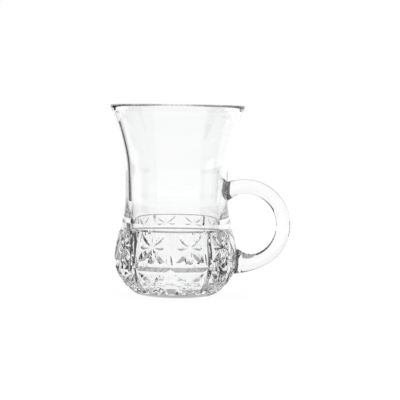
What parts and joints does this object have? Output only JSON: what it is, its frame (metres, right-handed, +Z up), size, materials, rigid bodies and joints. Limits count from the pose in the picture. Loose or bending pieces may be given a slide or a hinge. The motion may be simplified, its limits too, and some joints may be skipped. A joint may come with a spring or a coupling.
{
  "type": "handled tea glass",
  "caption": "Small waisted drinking glass in clear pressed glass, with a flared rim, a heavy bulb cut with star panels, and a round loop handle at the side.",
  "frame": {"origin": "centre of the flat underside of the foot, on the table", "axes": "+Z up along the bowl's axis, +X from the axis towards the handle, +Y across the handle's loop"},
  "size_m": [0.0863, 0.064, 0.0903],
  "materials": {
    "clear_glass": "clear and glossy",
    "handle_glass": "clear and glossy",
    "joint_layer": "clear with a dull edge"
  },
  "bodies": {
    "root": {"glass_body": "clear_glass", "loop_handle": "handle_glass", "upper_bond": "joint_layer", "lower_bond": "joint_layer"}
  },
  "joints": []
}
